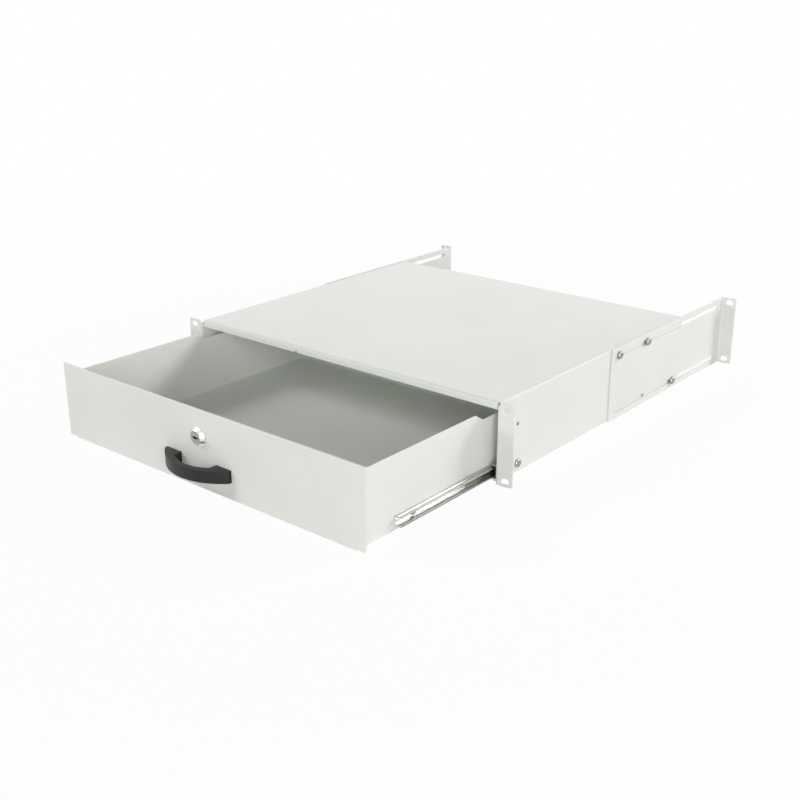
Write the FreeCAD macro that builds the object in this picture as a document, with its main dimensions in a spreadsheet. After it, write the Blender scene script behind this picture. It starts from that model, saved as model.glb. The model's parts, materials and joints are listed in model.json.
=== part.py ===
import FreeCAD, Part
import math
import os
import re

import Sketcher
from FreeCAD import Placement, Rotation, Vector

# Two-unit sliding rack drawer: a folded steel housing with rack ears, a folded drawer that
# rolls on two ball-bearing slides, a cam lock, a bow handle and two adjustable rear brackets.
#
# Frame, in millimetres: X to the right, Y into the rack, Z up.  The origin is the centre of
# the front mounting pattern on the ears' back faces, which lie against the rack's rails.
# The drawer stands part of its travel out of the housing.

SIZES = {
    # Rack interface
    "rack_width": (482.6, "across the front ears and across the rear ears"),
    "unit_height": (88.1, "height of the ears: two rack units less the gap between units"),
    "hole_inset": (8.75, "mounting slots from the sides of the ears"),
    "hole_inset_up": (5.95, "mounting slots from the top and bottom of the ears"),
    "rack_slot_long": (10.0, "length of one mounting slot"),
    "rack_slot_high": (6.6, "height of one mounting slot"),
    "ear_corner": (2.0, "corner radius of the ears"),
    # Housing
    "shell_sheet": (1.5, "sheet of the housing"),
    "bend_inside": (1.5, "inside radius of the bends in housing and brackets"),
    "ear_reach": (19.5, "ears beyond the side walls"),
    "room_behind_slides": (39.0, "rear of the housing behind the slides"),
    "top_drop": (0.3, "top plate below the top of the ears"),
    "lip_back": (1.2, "front lip behind the ears' back faces"),
    "lip_reach": (7.75, "height of the front lip"),
    "rear_lip_reach": (10.0, "height of the rear lip"),
    "bottom_flange": (8.0, "width of the flanges that stiffen the side walls below"),
    "ear_relief": (1.8, "from the side wall to the inner edge of the ear above its bend"),
    "lip_notch_across": (-62.0, "place of the small notch in the front lip"),
    "lip_notch_wide": (4.0, "width of that notch"),
    "lip_notch_high": (2.0, "height of that notch"),
    "spare_hole_back": (35.1, "spare hole in the side wall, behind the ears' back faces"),
    "spare_hole_up": (11.25, "spare hole above the middle of the housing"),
    "spare_hole_radius": (2.25, "radius of the spare hole"),
    # Rear brackets
    "bracket_sheet": (1.5, "sheet of the rear brackets"),
    "bracket_gap": (0.2, "paint and play between side wall and bracket"),
    "bracket_long": (285.0, "length of the rear brackets"),
    "bracket_out": (114.0, "backs of the rear ears behind the housing"),
    "slot_from_start": (11.0, "front end of the long slots behind the bracket's front edge"),
    "slot_from_ear": (17.0, "rear end of the long slots before the backs of the ears"),
    "slot_high": (5.6, "height of the long slots"),
    "slot_inset": (9.75, "middle of the long slots from the edges of the bracket"),
    "screw_in_slot": (4.0, "front bracket screw behind the front end of its slot"),
    "bracket_screw_pitch": (66.0, "between the two screws of the upper slot"),
    "screw_behind_slide": (20.3, "screw of the lower slot behind the slide"),
    # Drawer
    "drawer_open": (198.3, "how far the drawer stands out in the rest pose"),
    "tray_sheet": (1.2, "sheet of the drawer"),
    "tray_bend": (0.6, "inside radius of the bends in the drawer"),
    "tray_room": (32.0, "from the back of the closed drawer to the rear of the housing"),
    "tray_lift": (0.3, "underside of the drawer above the underside of the housing"),
    "wall_drop": (8.8, "side walls below the top of the drawer front"),
    "step_deep": (7.9, "side walls behind the step, and back wall, below the front part"),
    "step_back": (178.3, "from the front face to the step in the side walls"),
    "step_long": (13.0, "length of the sloping step"),
    "panel_gap": (0.2, "between the drawer front and the inner faces of the housing"),
    "panel_top_gap": (1.8, "top of the drawer front below the top of the ears"),
    "panel_corner": (1.5, "corner radius of the drawer front"),
    "hem_reach": (10.0, "height of the closed hem along the top of the front"),
    # Slides
    "slide_gap": (11.3, "between the side walls of housing and tray"),
    "slide_above_base": (11.0, "middle of the slides above the underside of the housing"),
    "member_sheet": (1.0, "sheet of the slide members"),
    "outer_start": (1.5, "front end of the outer member"),
    "outer_long": (350.0, "length of the outer member"),
    "outer_half": (6.95, "inside half height of the outer member"),
    "outer_reach": (8.8, "reach of the outer member's flanges from the housing wall"),
    "inner_start": (51.8, "front end of the inner member when the drawer is closed"),
    "inner_past": (0.3, "inner member behind the outer one when the drawer is closed"),
    "inner_half": (5.3, "outside half height of the inner member"),
    "inner_tip": (3.0, "gap from the housing wall to the inner member's flanges"),
    "ball_radius": (1.5, "radius of a ball"),
    "race_clearance": (0.08, "play between a ball and its races"),
    "race_from_wall": (6.0, "ball row from the housing wall"),
    "race_up": (6.3, "ball rows above and below the middle of the slide"),
    "cage_sheet": (0.6, "strip of the ball cage"),
    "cage_from_wall": (1.4, "cage from the housing wall"),
    "cage_reach": (9.0, "reach of the cage's flanges from the housing wall"),
    "cage_long": (90.0, "length of the ball cage"),
    "cage_room": (0.5, "between cage and stop when the drawer is fully out"),
    "drawer_travel": (250.0, "full travel of the drawer"),
    "ball_pitch": (24.0, "between the balls of one row"),
    "stop_long": (7.0, "length of the cage stop in the outer member"),
    "stop_thick": (1.4, "thickness of the cage stop"),
    "stop_half": (4.6, "half height of the cage stop"),
    # Slide fastenings
    "front_screw_inset": (34.5, "front screw from the front end of the outer member"),
    "rear_screw_inset": (50.5, "countersunk screw from the rear end of the outer member"),
    "rail_screw_inset": (26.0, "first and last screws from the ends of the inner member"),
    # Fasteners
    "screw_radius": (2.5, "M5 shank"),
    "screw_head": (4.75, "M5 pan head radius"),
    "screw_head_high": (2.8, "M5 pan head height"),
    "small_radius": (2.0, "M4 shank"),
    "small_head": (3.5, "M4 pan head radius"),
    "small_head_high": (1.9, "M4 pan head height"),
    "countersunk_radius": (3.4, "M4 countersunk head radius"),
    "recess_deep": (1.1, "depth of the cross recess"),
    "recess_wide": (0.9, "width of the cross recess"),
    "washer_radius": (5.0, "washer under a bracket screw"),
    "washer_thick": (1.0, "thickness of that washer"),
    "nut_radius": (4.2, "clinch nut radius"),
    "nut_thick": (3.0, "clinch nut thickness"),
    "hole_play": (0.25, "radial play of a screw in its clearance hole"),
    "thread_play": (0.02, "radial play left between screw and thread"),
    # Handle
    "handle_long": (94.0, "length of the handle"),
    "handle_stand": (24.0, "handle out from the front"),
    "handle_side": (3.5, "straight part of the handle's ends"),
    "handle_grip": (6.5, "thickness of the grip"),
    "handle_foot": (19.5, "width of a foot"),
    "handle_inner_side": (9.0, "straight part of the opening's ends"),
    "handle_high": (13.0, "height of the handle"),
    "handle_drop": (17.5, "middle of the handle below the middle of the housing"),
    "handle_round": (1.6, "rounding of the handle's edges"),
    "handle_screws": (74.0, "between the handle's screws"),
    "insert_radius": (3.6, "threaded insert of the handle"),
    "insert_long": (9.0, "length of that insert"),
    # Lock
    "lock_up": (13.0, "lock above the middle of the housing"),
    "bezel_base": (10.5, "radius of the lock's bezel at the front"),
    "bezel_face": (7.3, "radius of the bezel at its face"),
    "bezel_stand": (4.6, "bezel out from the front"),
    "barrel_radius": (9.0, "threaded barrel of the lock"),
    "barrel_flat": (7.9, "flats on the barrel, from its axis"),
    "barrel_long": (12.5, "barrel behind the face of the front"),
    "plug_radius": (5.5, "turning plug"),
    "plug_face": (6.5, "radius of the plug's face"),
    "plug_face_thick": (1.6, "thickness of the plug's face"),
    "running_play": (0.05, "radial play of the plug in the barrel"),
    "keyway_long": (7.0, "length of the keyway"),
    "keyway_wide": (1.3, "width of the keyway"),
    "keyway_deep": (9.0, "depth of the keyway"),
    "tail_radius": (4.0, "tail of the plug that carries the cam"),
    "lock_nut_flats": (22.0, "across the flats of the lock nut"),
    "lock_nut_thick": (3.0, "thickness of the lock nut"),
    "cam_gap": (0.3, "between barrel and cam"),
    "cam_sheet": (2.0, "thickness of the cam"),
    "cam_long": (28.0, "reach of the cam from the lock's axis"),
    "cam_hub": (8.0, "radius of the cam's hub"),
    "cam_wide": (14.0, "width of the cam"),
    "cam_crank": (6.0, "forward crank of the cam"),
    "cam_crank_long": (6.0, "length over which the cam is cranked"),
    "cam_corner": (3.0, "corner radius of the cam's tip"),
}

BALLS_IN_ROW = 4
RAIL_SCREWS = 3
SIDES = (("left", -1), ("right", 1))

doc = FreeCAD.newDocument("SlidingRackDrawer")
sheet = doc.addObject("Spreadsheet::Sheet", "Sheet")
for row, (size_name, (size, meaning)) in enumerate(SIZES.items(), start=1):
    sheet.set(f"A{row}", meaning)
    sheet.set(f"B{row}", str(size))
    sheet.setAlias(f"B{row}", size_name)
doc.recompute()

SIZE_WORD = re.compile(r"\b(" + "|".join(SIZES) + r")\b")
nodes = {}

# Places that more than one piece uses, as expressions of the sheet.
UNIT_LOW = "(-unit_height / 2)"
UNIT_TOP = "(unit_height / 2)"
TOP = "(unit_height / 2 - top_drop)"
SIDE_OUT = "(rack_width / 2 - ear_reach)"
SIDE_IN = f"({SIDE_OUT} - shell_sheet)"
BEND_OUT = "(bend_inside + shell_sheet)"
SHELL_FRONT = f"(lip_back + {BEND_OUT})"
SLIDE_END = "(outer_start + outer_long)"
HOUSING_REAR = f"({SLIDE_END} + room_behind_slides)"
SHELL_REAR = f"({HOUSING_REAR} - {BEND_OUT})"
SHELL_SHOULDER = f"({TOP} - {BEND_OUT})"
BRACKET_IN = f"({SIDE_OUT} + bracket_gap)"
BRACKET_OUT = f"({BRACKET_IN} + bracket_sheet)"
EAR_BACK = f"({HOUSING_REAR} + bracket_out)"
EAR_FRONT = f"({EAR_BACK} - bracket_sheet)"
BRACKET_START = f"({EAR_BACK} - bracket_long)"
SLOT_START = f"({BRACKET_START} + slot_from_start)"
SLOT_END = f"({EAR_BACK} - slot_from_ear)"
SLOT_ROW = "(unit_height / 2 - slot_inset)"
PANEL_FRONT = "(-shell_sheet - drawer_open)"
PANEL_BACK = f"({PANEL_FRONT} + tray_sheet)"
TRAY_LOW = "(-unit_height / 2 + tray_lift)"
TRAY_SIDE = f"({SIDE_IN} - slide_gap)"
TRAY_REAR = f"({HOUSING_REAR} - tray_room - drawer_open)"
PANEL_TOP = "(unit_height / 2 - panel_top_gap)"
WALL_TOP = f"({PANEL_TOP} - wall_drop)"
BACK_TOP = f"({WALL_TOP} - step_deep)"
SCREW_FRONT = "(outer_start + front_screw_inset)"
SCREW_REAR = f"({SLIDE_END} - rear_screw_inset)"
SLIDE_UP = "(slide_above_base - unit_height / 2)"
RACE = "(ball_radius + race_clearance)"
RAIL_FRONT = "(inner_start - drawer_open)"
RAIL_LONG = f"({SLIDE_END} + inner_past - inner_start)"
CAGE_CLOSED = "(outer_start + stop_long + cage_room + drawer_travel / 2)"
CAGE_FRONT = f"({CAGE_CLOSED} - drawer_open / 2)"
BARREL_END = f"({PANEL_FRONT} + barrel_long)"
CAM_FRONT = f"({BARREL_END} + cam_gap)"


def bound(text):
    """An expression with each size tied to its cell of the sheet."""
    return SIZE_WORD.sub(r"Sheet.\1", str(text))


def value(text):
    """What an expression of sizes comes to, in millimetres."""
    return float(sheet.evalExpression(bound(text)))


def bind(item, path, text):
    item.setExpression(path, bound(text))


def flip(sign, low, high):
    """The same stretch of X on the right (1) or on the left (-1)."""
    return (low, high) if sign > 0 else (f"-({high})", f"-({low})")


def keep(label, item):
    """Registers a sub-part under the name of its file."""
    item.Label = label
    nodes[label] = item
    return item


# ---------------------------------------------------------------- PartDesign helpers

def new_body(name):
    return doc.addObject("PartDesign::Body", name)


def sketch_on(body, name, plane, at, lift="0"):
    """A sketch parallel to an origin plane: at is its place along the plane's axis."""
    sketch = body.newObject("Sketcher::SketchObject", name)
    origin = [item for item in body.Origin.OriginFeatures if item.Role == plane]
    sketch.AttachmentSupport = [(origin[0], "")]
    sketch.MapMode = "FlatFace"
    sketch.AttachmentOffset = Placement(Vector(0, 0, 0), Rotation())
    sign = "-1" if plane == "XZ_Plane" else "1"
    bind(sketch, "AttachmentOffset.Base.z", f"{sign} * ({at})")
    bind(sketch, "AttachmentOffset.Base.y", lift)
    return sketch


def tie(sketch, geometry, point, across, up):
    """Ties a point of a sketch to two expressions, measured from the sketch's origin."""
    for kind, text in (("DistanceX", across), ("DistanceY", up)):
        place = sketch.addConstraint(Sketcher.Constraint(kind, -1, 1, geometry, point, value(text)))
        bind(sketch, f"Constraints[{place}]", text)


def polygon(sketch, corners):
    """A closed outline of straight lines, its corners tied to the sheet."""
    first = sketch.GeometryCount
    count = len(corners)
    points = [Vector(value(across), value(up), 0) for across, up in corners]
    for place in range(count):
        sketch.addGeometry(Part.LineSegment(points[place], points[(place + 1) % count]), False)
    for place in range(count):
        following = first + (place + 1) % count
        sketch.addConstraint(Sketcher.Constraint("Coincident", first + place, 2, following, 1))
        tie(sketch, first + place, 1, *corners[place])


def circle(sketch, across, up, radius):
    centre = Vector(value(across), value(up), 0)
    ring = sketch.addGeometry(Part.Circle(centre, Vector(0, 0, 1), value(radius)), False)
    tie(sketch, ring, 3, across, up)
    size = sketch.addConstraint(Sketcher.Constraint("Radius", ring, value(radius)))
    bind(sketch, f"Constraints[{size}]", radius)


def slot(sketch, start, end, up, high):
    """A round-ended slot along the sketch's X, from end to end."""
    radius = value(f"({high}) / 2")
    axis = Vector(0, 0, 1)
    ends = (f"({start}) + ({high}) / 2", f"({end}) - ({high}) / 2")
    near, far = (Vector(value(place), value(up), 0) for place in ends)
    half = math.pi / 2
    rise = Vector(0, radius, 0)
    first = Part.ArcOfCircle(Part.Circle(near, axis, radius), half, 3 * half)
    last = Part.ArcOfCircle(Part.Circle(far, axis, radius), -half, half)
    near_arc = sketch.addGeometry(first, False)
    far_arc = sketch.addGeometry(last, False)
    above = sketch.addGeometry(Part.LineSegment(far + rise, near + rise), False)
    below = sketch.addGeometry(Part.LineSegment(near - rise, far - rise), False)
    sketch.addConstraint([
        Sketcher.Constraint("Tangent", near_arc, 1, above, 2),
        Sketcher.Constraint("Tangent", near_arc, 2, below, 1),
        Sketcher.Constraint("Tangent", far_arc, 1, below, 2),
        Sketcher.Constraint("Tangent", far_arc, 2, above, 1),
        Sketcher.Constraint("Equal", near_arc, far_arc),
    ])
    tie(sketch, near_arc, 3, ends[0], up)
    tie(sketch, far_arc, 3, ends[1], up)
    size = sketch.addConstraint(Sketcher.Constraint("Radius", near_arc, radius))
    bind(sketch, f"Constraints[{size}]", f"({high}) / 2")


def extrude(body, kind, sketch, plane, low, high):
    """Pads or pockets a sketch from low towards high along the plane's axis."""
    before = body.Shape.Volume if kind == "Pocket" else 0
    feature = body.newObject(f"PartDesign::{kind}", f"{sketch.Name}{kind}")
    feature.Profile = sketch
    feature.Type = "Length"
    feature.Reversed = (plane == "XZ_Plane") == (kind == "Pad")
    bind(feature, "Length", f"({high}) - ({low})")
    doc.recompute()
    if kind == "Pocket" and feature.Shape.Volume > before - 1e-6:
        raise RuntimeError(f"{feature.Name} cuts nothing")
    return feature


def prism(body, name, plane, corners, low, high):
    sketch = sketch_on(body, name, plane, low)
    polygon(sketch, corners)
    return extrude(body, "Pad", sketch, plane, low, high)


def window(body, name, plane, corners, low, high):
    sketch = sketch_on(body, name, plane, low)
    polygon(sketch, corners)
    return extrude(body, "Pocket", sketch, plane, low, high)


def rectangle(low, high, bottom, top):
    return [(low, bottom), (high, bottom), (high, top), (low, top)]


def spin(body, kind, sketch):
    """Revolves a sketch about its own X axis."""
    feature = body.newObject(f"PartDesign::{kind}", f"{sketch.Name}{kind}")
    feature.Profile = sketch
    feature.ReferenceAxis = (sketch, ["H_Axis"])
    feature.Angle = 360
    doc.recompute()
    return feature


def along(edge, axis, places):
    """Whether an edge is straight, runs along an axis and lies at the given places."""
    if not isinstance(edge.Curve, Part.Line):
        return False
    start, end = (vertex.Point for vertex in edge.Vertexes)
    for letter, (place, mirrored) in places.items():
        for point in (start, end):
            here = getattr(point, letter)
            here = abs(here) if mirrored else here
            if abs(here - place) > 1e-4:
                return False
    return abs(getattr(start, axis) - getattr(end, axis)) > 1e-4


def edge_names(shape, picks):
    """Names of the edges that the picks describe; abs_x or abs_z takes both signs."""
    names = set()
    for axis, where in picks:
        places = {}
        for key, text in where.items():
            places[key[-1]] = (value(text), key.startswith("abs"))
        found = [f"Edge{number}" for number, edge in enumerate(shape.Edges, start=1)
                 if along(edge, axis, places)]
        if not found:
            raise RuntimeError(f"no edge along {axis} at {where}")
        names.update(found)
    return sorted(names)


def soften(body, name, kind, size, picks):
    """Fillets or chamfers the picked edges of a body."""
    base = body.Tip
    feature = body.newObject(f"PartDesign::{kind}", name)
    feature.Base = (base, edge_names(base.Shape, picks))
    bind(feature, "Radius" if kind == "Fillet" else "Size", size)
    body.Tip = feature
    doc.recompute()
    return feature


def rim_names(shape, axis, radius, places):
    """Names of the circular edges of a radius whose centres lie at the given places."""
    names = []
    for number, edge in enumerate(shape.Edges, start=1):
        curve = edge.Curve
        if not isinstance(curve, Part.Circle) or abs(curve.Radius - value(radius)) > 1e-4:
            continue
        here = abs(getattr(curve.Center, axis))
        if any(abs(here - value(place)) < 1e-4 for place in places):
            names.append(f"Edge{number}")
    return names


# ---------------------------------------------------------------- Part helpers

def box(name, x, y, z):
    """A block between two expressions along each axis."""
    block = doc.addObject("Part::Box", name)
    for side, axis, (low, high) in (("Length", "x", x), ("Width", "y", y), ("Height", "z", z)):
        bind(block, side, f"({high}) - ({low})")
        bind(block, f"Placement.Base.{axis}", low)
    return block


def rod(name, axis, radius, x, y, z, long):
    """A cylinder from a point along an axis."""
    cylinder = doc.addObject("Part::Cylinder", name)
    turns = {"x": Rotation(Vector(0, 1, 0), 90), "y": Rotation(Vector(1, 0, 0), -90),
             "z": Rotation()}
    cylinder.Placement = Placement(Vector(0, 0, 0), turns[axis])
    bind(cylinder, "Radius", radius)
    bind(cylinder, "Height", long)
    for letter, place in (("x", x), ("y", y), ("z", z)):
        bind(cylinder, f"Placement.Base.{letter}", place)
    return cylinder


def join(name, pieces):
    union = doc.addObject("Part::MultiFuse", name)
    union.Shapes = pieces
    union.Refine = True
    return union


def less(name, base, tool):
    difference = doc.addObject("Part::Cut", name)
    difference.Base = base
    difference.Tool = tool
    difference.Refine = True
    return difference


def overlap(name, first, second):
    shared = doc.addObject("Part::Common", name)
    shared.Base = first
    shared.Tool = second
    return shared


def copies(label, master, spots, facing):
    """A group of separate copies of one piece: each spot is x, y, z, and facing turns +Z."""
    links = []
    for number, spot in enumerate(spots, start=1):
        link = doc.addObject("App::Link", f"{label}_{number}")
        link.LinkedObject = master
        way = facing[number - 1] if isinstance(facing, list) else facing
        link.Placement = Placement(Vector(0, 0, 0), Rotation(Vector(0, 0, 1), Vector(*way)))
        for letter, place in zip("xyz", spot):
            bind(link, f"Placement.Base.{letter}", place)
        links.append(link)
    group = doc.addObject("Part::Compound", label)
    group.Links = links
    return keep(label, group)


# ---------------------------------------------------------------- fasteners

def turned(name, corners):
    """A piece turned about Z: corners are height along the axis and radius."""
    body = new_body(name)
    sketch = sketch_on(body, f"{name}_profile", "XZ_Plane", "0")
    polygon(sketch, [(radius, height) for height, radius in corners])
    feature = body.newObject("PartDesign::Revolution", f"{name}_turn")
    feature.Profile = sketch
    feature.ReferenceAxis = (sketch, ["V_Axis"])
    feature.Angle = 360
    doc.recompute()
    return body


def cross_recess(body, name, top, reach):
    """A cross-shaped recess sunk into a head."""
    arm, half = f"({reach})", "(recess_wide / 2)"
    quarter = [(arm, f"-{half}"), (arm, half), (half, half), (half, arm)]
    corners = []
    for turn in range(4):
        for across, up in quarter[:3]:
            spots = {0: (across, up), 1: (f"-({up})", across),
                     2: (f"-({across})", f"-({up})"), 3: (up, f"-({across})")}
            corners.append(spots[turn])
    sketch = sketch_on(body, name, "XY_Plane", f"{top} - recess_deep")
    polygon(sketch, corners)
    extrude(body, "Pocket", sketch, "XY_Plane", f"{top} - recess_deep", f"{top} + recess_deep")


def pan_screw(name, head, head_high, radius, long):
    """A pan-head screw whose head stands on z = 0 and points up."""
    body = turned(name, [(f"-({long})", "0"), (f"-({long})", radius), ("0", radius), ("0", head),
                         (f"0.4 * {head_high}", head), (f"0.85 * {head_high}", f"0.85 * {head}"),
                         (head_high, f"0.62 * {head}"), (head_high, "0")])
    cross_recess(body, f"{name}_cross", head_high, f"{head} * 0.55")
    return body


def fasteners():
    """The designs that the groups of screws, washers and nuts copy."""
    bracket_grip = "washer_thick + bracket_sheet + bracket_gap + shell_sheet + nut_thick"
    designs = {
        "bracket": pan_screw("BracketScrew", "screw_head", "screw_head_high", "screw_radius",
                             bracket_grip),
        "slide": pan_screw("SlideScrew", "screw_head", "screw_head_high", "screw_radius",
                           "shell_sheet + member_sheet"),
        "rail": pan_screw("RailScrew", "small_head", "small_head_high", "small_radius",
                          "member_sheet + tray_sheet"),
        "handle": pan_screw("HandleScrew", "screw_head", "screw_head_high", "screw_radius",
                            "tray_sheet + insert_long - 1"),
        "cam": pan_screw("CamScrew", "small_head", "small_head_high", "small_radius", "5"),
    }
    grip = "(shell_sheet + member_sheet)"
    flush = turned("CountersunkScrew", [
        (f"-{grip}", "0"), (f"-{grip}", "small_radius"),
        ("small_radius - countersunk_radius", "small_radius"), ("0", "countersunk_radius"),
        ("0", "0")])
    cross_recess(flush, "CountersunkCross", "0", "countersunk_radius * 0.5")
    designs["flush"] = flush
    designs["washer"] = turned("Washer", [
        ("0", "screw_radius + hole_play"), ("0", "washer_radius"),
        ("washer_thick", "washer_radius"), ("washer_thick", "screw_radius + hole_play")])
    designs["nut"] = turned("ClinchNut", [
        ("-nut_thick", "screw_radius + thread_play"), ("-nut_thick", "nut_radius"),
        ("0", "nut_radius"), ("0", "screw_radius + hole_play"),
        ("shell_sheet", "screw_radius + hole_play"), ("shell_sheet", "screw_radius + thread_play")])
    return designs


# ---------------------------------------------------------------- housing

def housing_shell():
    """One folded sheet: top, sides, bottom flanges, front and rear lips and the front ears."""
    body = new_body("HousingShell")
    flange = f"({SIDE_OUT} - bottom_flange)"
    half_section = [(flange, UNIT_LOW), (SIDE_OUT, UNIT_LOW), (SIDE_OUT, TOP)]
    half_inside = [(SIDE_IN, f"{TOP} - shell_sheet"), (SIDE_IN, f"{UNIT_LOW} + shell_sheet"),
                   (flange, f"{UNIT_LOW} + shell_sheet")]
    mirror = [(f"-{across}", up) for across, up in reversed(half_section)]
    mirror_inside = [(f"-{across}", up) for across, up in reversed(half_inside)]
    section = half_section + mirror + mirror_inside + half_inside
    prism(body, "Section", "XZ_Plane", section, SHELL_FRONT, SHELL_REAR)
    soften(body, "OuterBends", "Fillet", BEND_OUT, [
        ("y", {"abs_x": SIDE_OUT, "z": TOP}), ("y", {"abs_x": SIDE_OUT, "z": UNIT_LOW})])
    soften(body, "InnerBends", "Fillet", "bend_inside", [
        ("y", {"abs_x": SIDE_IN, "z": f"{TOP} - shell_sheet"}),
        ("y", {"abs_x": SIDE_IN, "z": f"{UNIT_LOW} + shell_sheet"})])

    lip_half = f"({SIDE_OUT} - {BEND_OUT})"
    lip_low = f"({TOP} - lip_reach)"
    front_lip = [("lip_back", lip_low), ("lip_back", TOP), (SHELL_FRONT, TOP),
                 (SHELL_FRONT, f"{TOP} - shell_sheet"),
                 ("lip_back + shell_sheet", f"{TOP} - shell_sheet"),
                 ("lip_back + shell_sheet", lip_low)]
    prism(body, "FrontLip", "YZ_Plane", front_lip, f"-{lip_half}", lip_half)
    rear_low = f"({TOP} - rear_lip_reach)"
    rear_lip = [(HOUSING_REAR, TOP), (HOUSING_REAR, rear_low),
                (f"{HOUSING_REAR} - shell_sheet", rear_low),
                (f"{HOUSING_REAR} - shell_sheet", f"{TOP} - shell_sheet"),
                (SHELL_REAR, f"{TOP} - shell_sheet"), (SHELL_REAR, TOP)]
    prism(body, "RearLip", "YZ_Plane", rear_lip, f"-{lip_half}", lip_half)

    ear_inner = f"({SIDE_OUT} + ear_relief)"
    for side, sign in SIDES:
        wall_front = [(SIDE_IN, SHELL_FRONT), (SIDE_IN, "-shell_sheet"),
                      (ear_inner, "-shell_sheet"), (ear_inner, "0"), (SIDE_OUT, "0"),
                      (SIDE_OUT, SHELL_FRONT)]
        corners = [(f"{sign} * {across}", back) for across, back in wall_front]
        prism(body, f"EarBend_{side}", "XY_Plane", corners, UNIT_LOW, SHELL_SHOULDER)
        ear = rectangle(f"{sign} * {ear_inner}", f"{sign} * rack_width / 2", UNIT_LOW, UNIT_TOP)
        prism(body, f"Ear_{side}", "XZ_Plane", ear, "-shell_sheet", "0")
        wall_rear = rectangle(f"{sign} * {SIDE_IN}", f"{sign} * {SIDE_OUT}", SHELL_REAR,
                              HOUSING_REAR)
        prism(body, f"WallRear_{side}", "XY_Plane", wall_rear, UNIT_LOW, SHELL_SHOULDER)
    soften(body, "OuterTurns", "Fillet", BEND_OUT, [
        ("x", {"y": "lip_back", "z": TOP}), ("x", {"y": HOUSING_REAR, "z": TOP}),
        ("z", {"abs_x": SIDE_IN, "y": "-shell_sheet"})])
    soften(body, "InnerTurns", "Fillet", "bend_inside", [
        ("x", {"y": "lip_back + shell_sheet", "z": f"{TOP} - shell_sheet"}),
        ("x", {"y": f"{HOUSING_REAR} - shell_sheet", "z": f"{TOP} - shell_sheet"}),
        ("z", {"abs_x": SIDE_OUT, "y": "0"})])
    soften(body, "EarCorners", "Fillet", "ear_corner", [
        ("y", {"abs_x": "rack_width / 2", "abs_z": UNIT_TOP})])

    rack_slots(body, "EarSlots", "-shell_sheet - 1", "1", (-1, 1))
    clear = f"({SIDE_OUT} + 1)"
    holes = sketch_on(body, "SideHoles", "YZ_Plane", f"-{clear}")
    circle(holes, SCREW_FRONT, SLIDE_UP, "screw_radius + thread_play")
    circle(holes, SCREW_REAR, SLIDE_UP, "small_radius + thread_play")
    circle(holes, "spare_hole_back", "spare_hole_up", "spare_hole_radius")
    for back, up in bracket_screw_spots():
        circle(holes, back, up, "screw_radius + hole_play")
    extrude(body, "Pocket", holes, "YZ_Plane", f"-{clear}", clear)
    sinks = sketch_on(body, "Countersinks", "XY_Plane", SLIDE_UP, SCREW_REAR)
    for sign in (-1, 1):
        foot = f"{sign} * ({SIDE_OUT} - countersunk_radius + small_radius)"
        polygon(sinks, [(foot, "0"), (foot, "small_radius + thread_play"),
                        (f"{sign} * {SIDE_OUT}", "countersunk_radius + thread_play"),
                        (f"{sign} * {SIDE_OUT}", "0")])
    spin(body, "Groove", sinks)
    notch = rectangle("lip_notch_across - lip_notch_wide / 2",
                      "lip_notch_across + lip_notch_wide / 2",
                      f"{lip_low} - 1", f"{lip_low} + lip_notch_high")
    window(body, "LipNotch", "XZ_Plane", notch, "lip_back - 1", "lip_back + shell_sheet + 1")
    return keep("housing_shell", body)


def rack_slots(body, name, low, high, signs):
    """The round-ended slots through which the ears are screwed to the rack."""
    sketch = sketch_on(body, name, "XZ_Plane", low)
    for sign in signs:
        for row in (-1, 1):
            middle = f"{sign} * (rack_width / 2 - hole_inset)"
            slot(sketch, f"{middle} - rack_slot_long / 2", f"{middle} + rack_slot_long / 2",
                 f"{row} * (unit_height / 2 - hole_inset_up)", "rack_slot_high")
    extrude(body, "Pocket", sketch, "XZ_Plane", low, high)


def bracket_screw_spots():
    first = f"({SLOT_START} + screw_in_slot)"
    return [(first, SLOT_ROW), (f"{first} + bracket_screw_pitch", SLOT_ROW),
            (f"{SLIDE_END} + screw_behind_slide", f"-{SLOT_ROW}")]


def rear_bracket(side, sign):
    """An angle with two long slots, which slides along the housing and carries a rear ear."""
    body = new_body(f"RearBracket_{side}")
    angle = [(BRACKET_IN, BRACKET_START), (BRACKET_OUT, BRACKET_START),
             (BRACKET_OUT, EAR_FRONT), ("rack_width / 2", EAR_FRONT),
             ("rack_width / 2", EAR_BACK), (BRACKET_IN, EAR_BACK)]
    corners = [(f"{sign} * {across}", back) for across, back in angle]
    prism(body, f"Angle_{side}", "XY_Plane", corners, UNIT_LOW, UNIT_TOP)
    soften(body, f"BracketOuterBend_{side}", "Fillet", "bend_inside + bracket_sheet",
           [("z", {"abs_x": BRACKET_IN, "y": EAR_BACK})])
    soften(body, f"BracketInnerBend_{side}", "Fillet", "bend_inside",
           [("z", {"abs_x": BRACKET_OUT, "y": EAR_FRONT})])
    soften(body, f"BracketCorners_{side}", "Fillet", "ear_corner",
           [("y", {"abs_x": "rack_width / 2", "abs_z": UNIT_TOP})])
    low, high = flip(sign, f"{BRACKET_IN} - 1", f"{BRACKET_OUT} + 1")
    slots = sketch_on(body, f"LongSlots_{side}", "YZ_Plane", low)
    for row in (SLOT_ROW, f"-{SLOT_ROW}"):
        slot(slots, SLOT_START, SLOT_END, row, "slot_high")
    extrude(body, "Pocket", slots, "YZ_Plane", low, high)
    rack_slots(body, f"RearEarSlots_{side}", f"{EAR_FRONT} - 1", f"{EAR_BACK} + 1", (sign,))
    return keep(f"rear_bracket_{side}", body)


# ---------------------------------------------------------------- slides

def from_wall(sign, near, far):
    """X limits of a stretch between two distances from the housing's inner wall."""
    return flip(sign, f"{SIDE_IN} - ({far})", f"{SIDE_IN} - ({near})")


def band(half):
    """Z limits about the middle of a slide."""
    return (f"{SLIDE_UP} - ({half})", f"{SLIDE_UP} + ({half})")


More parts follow.
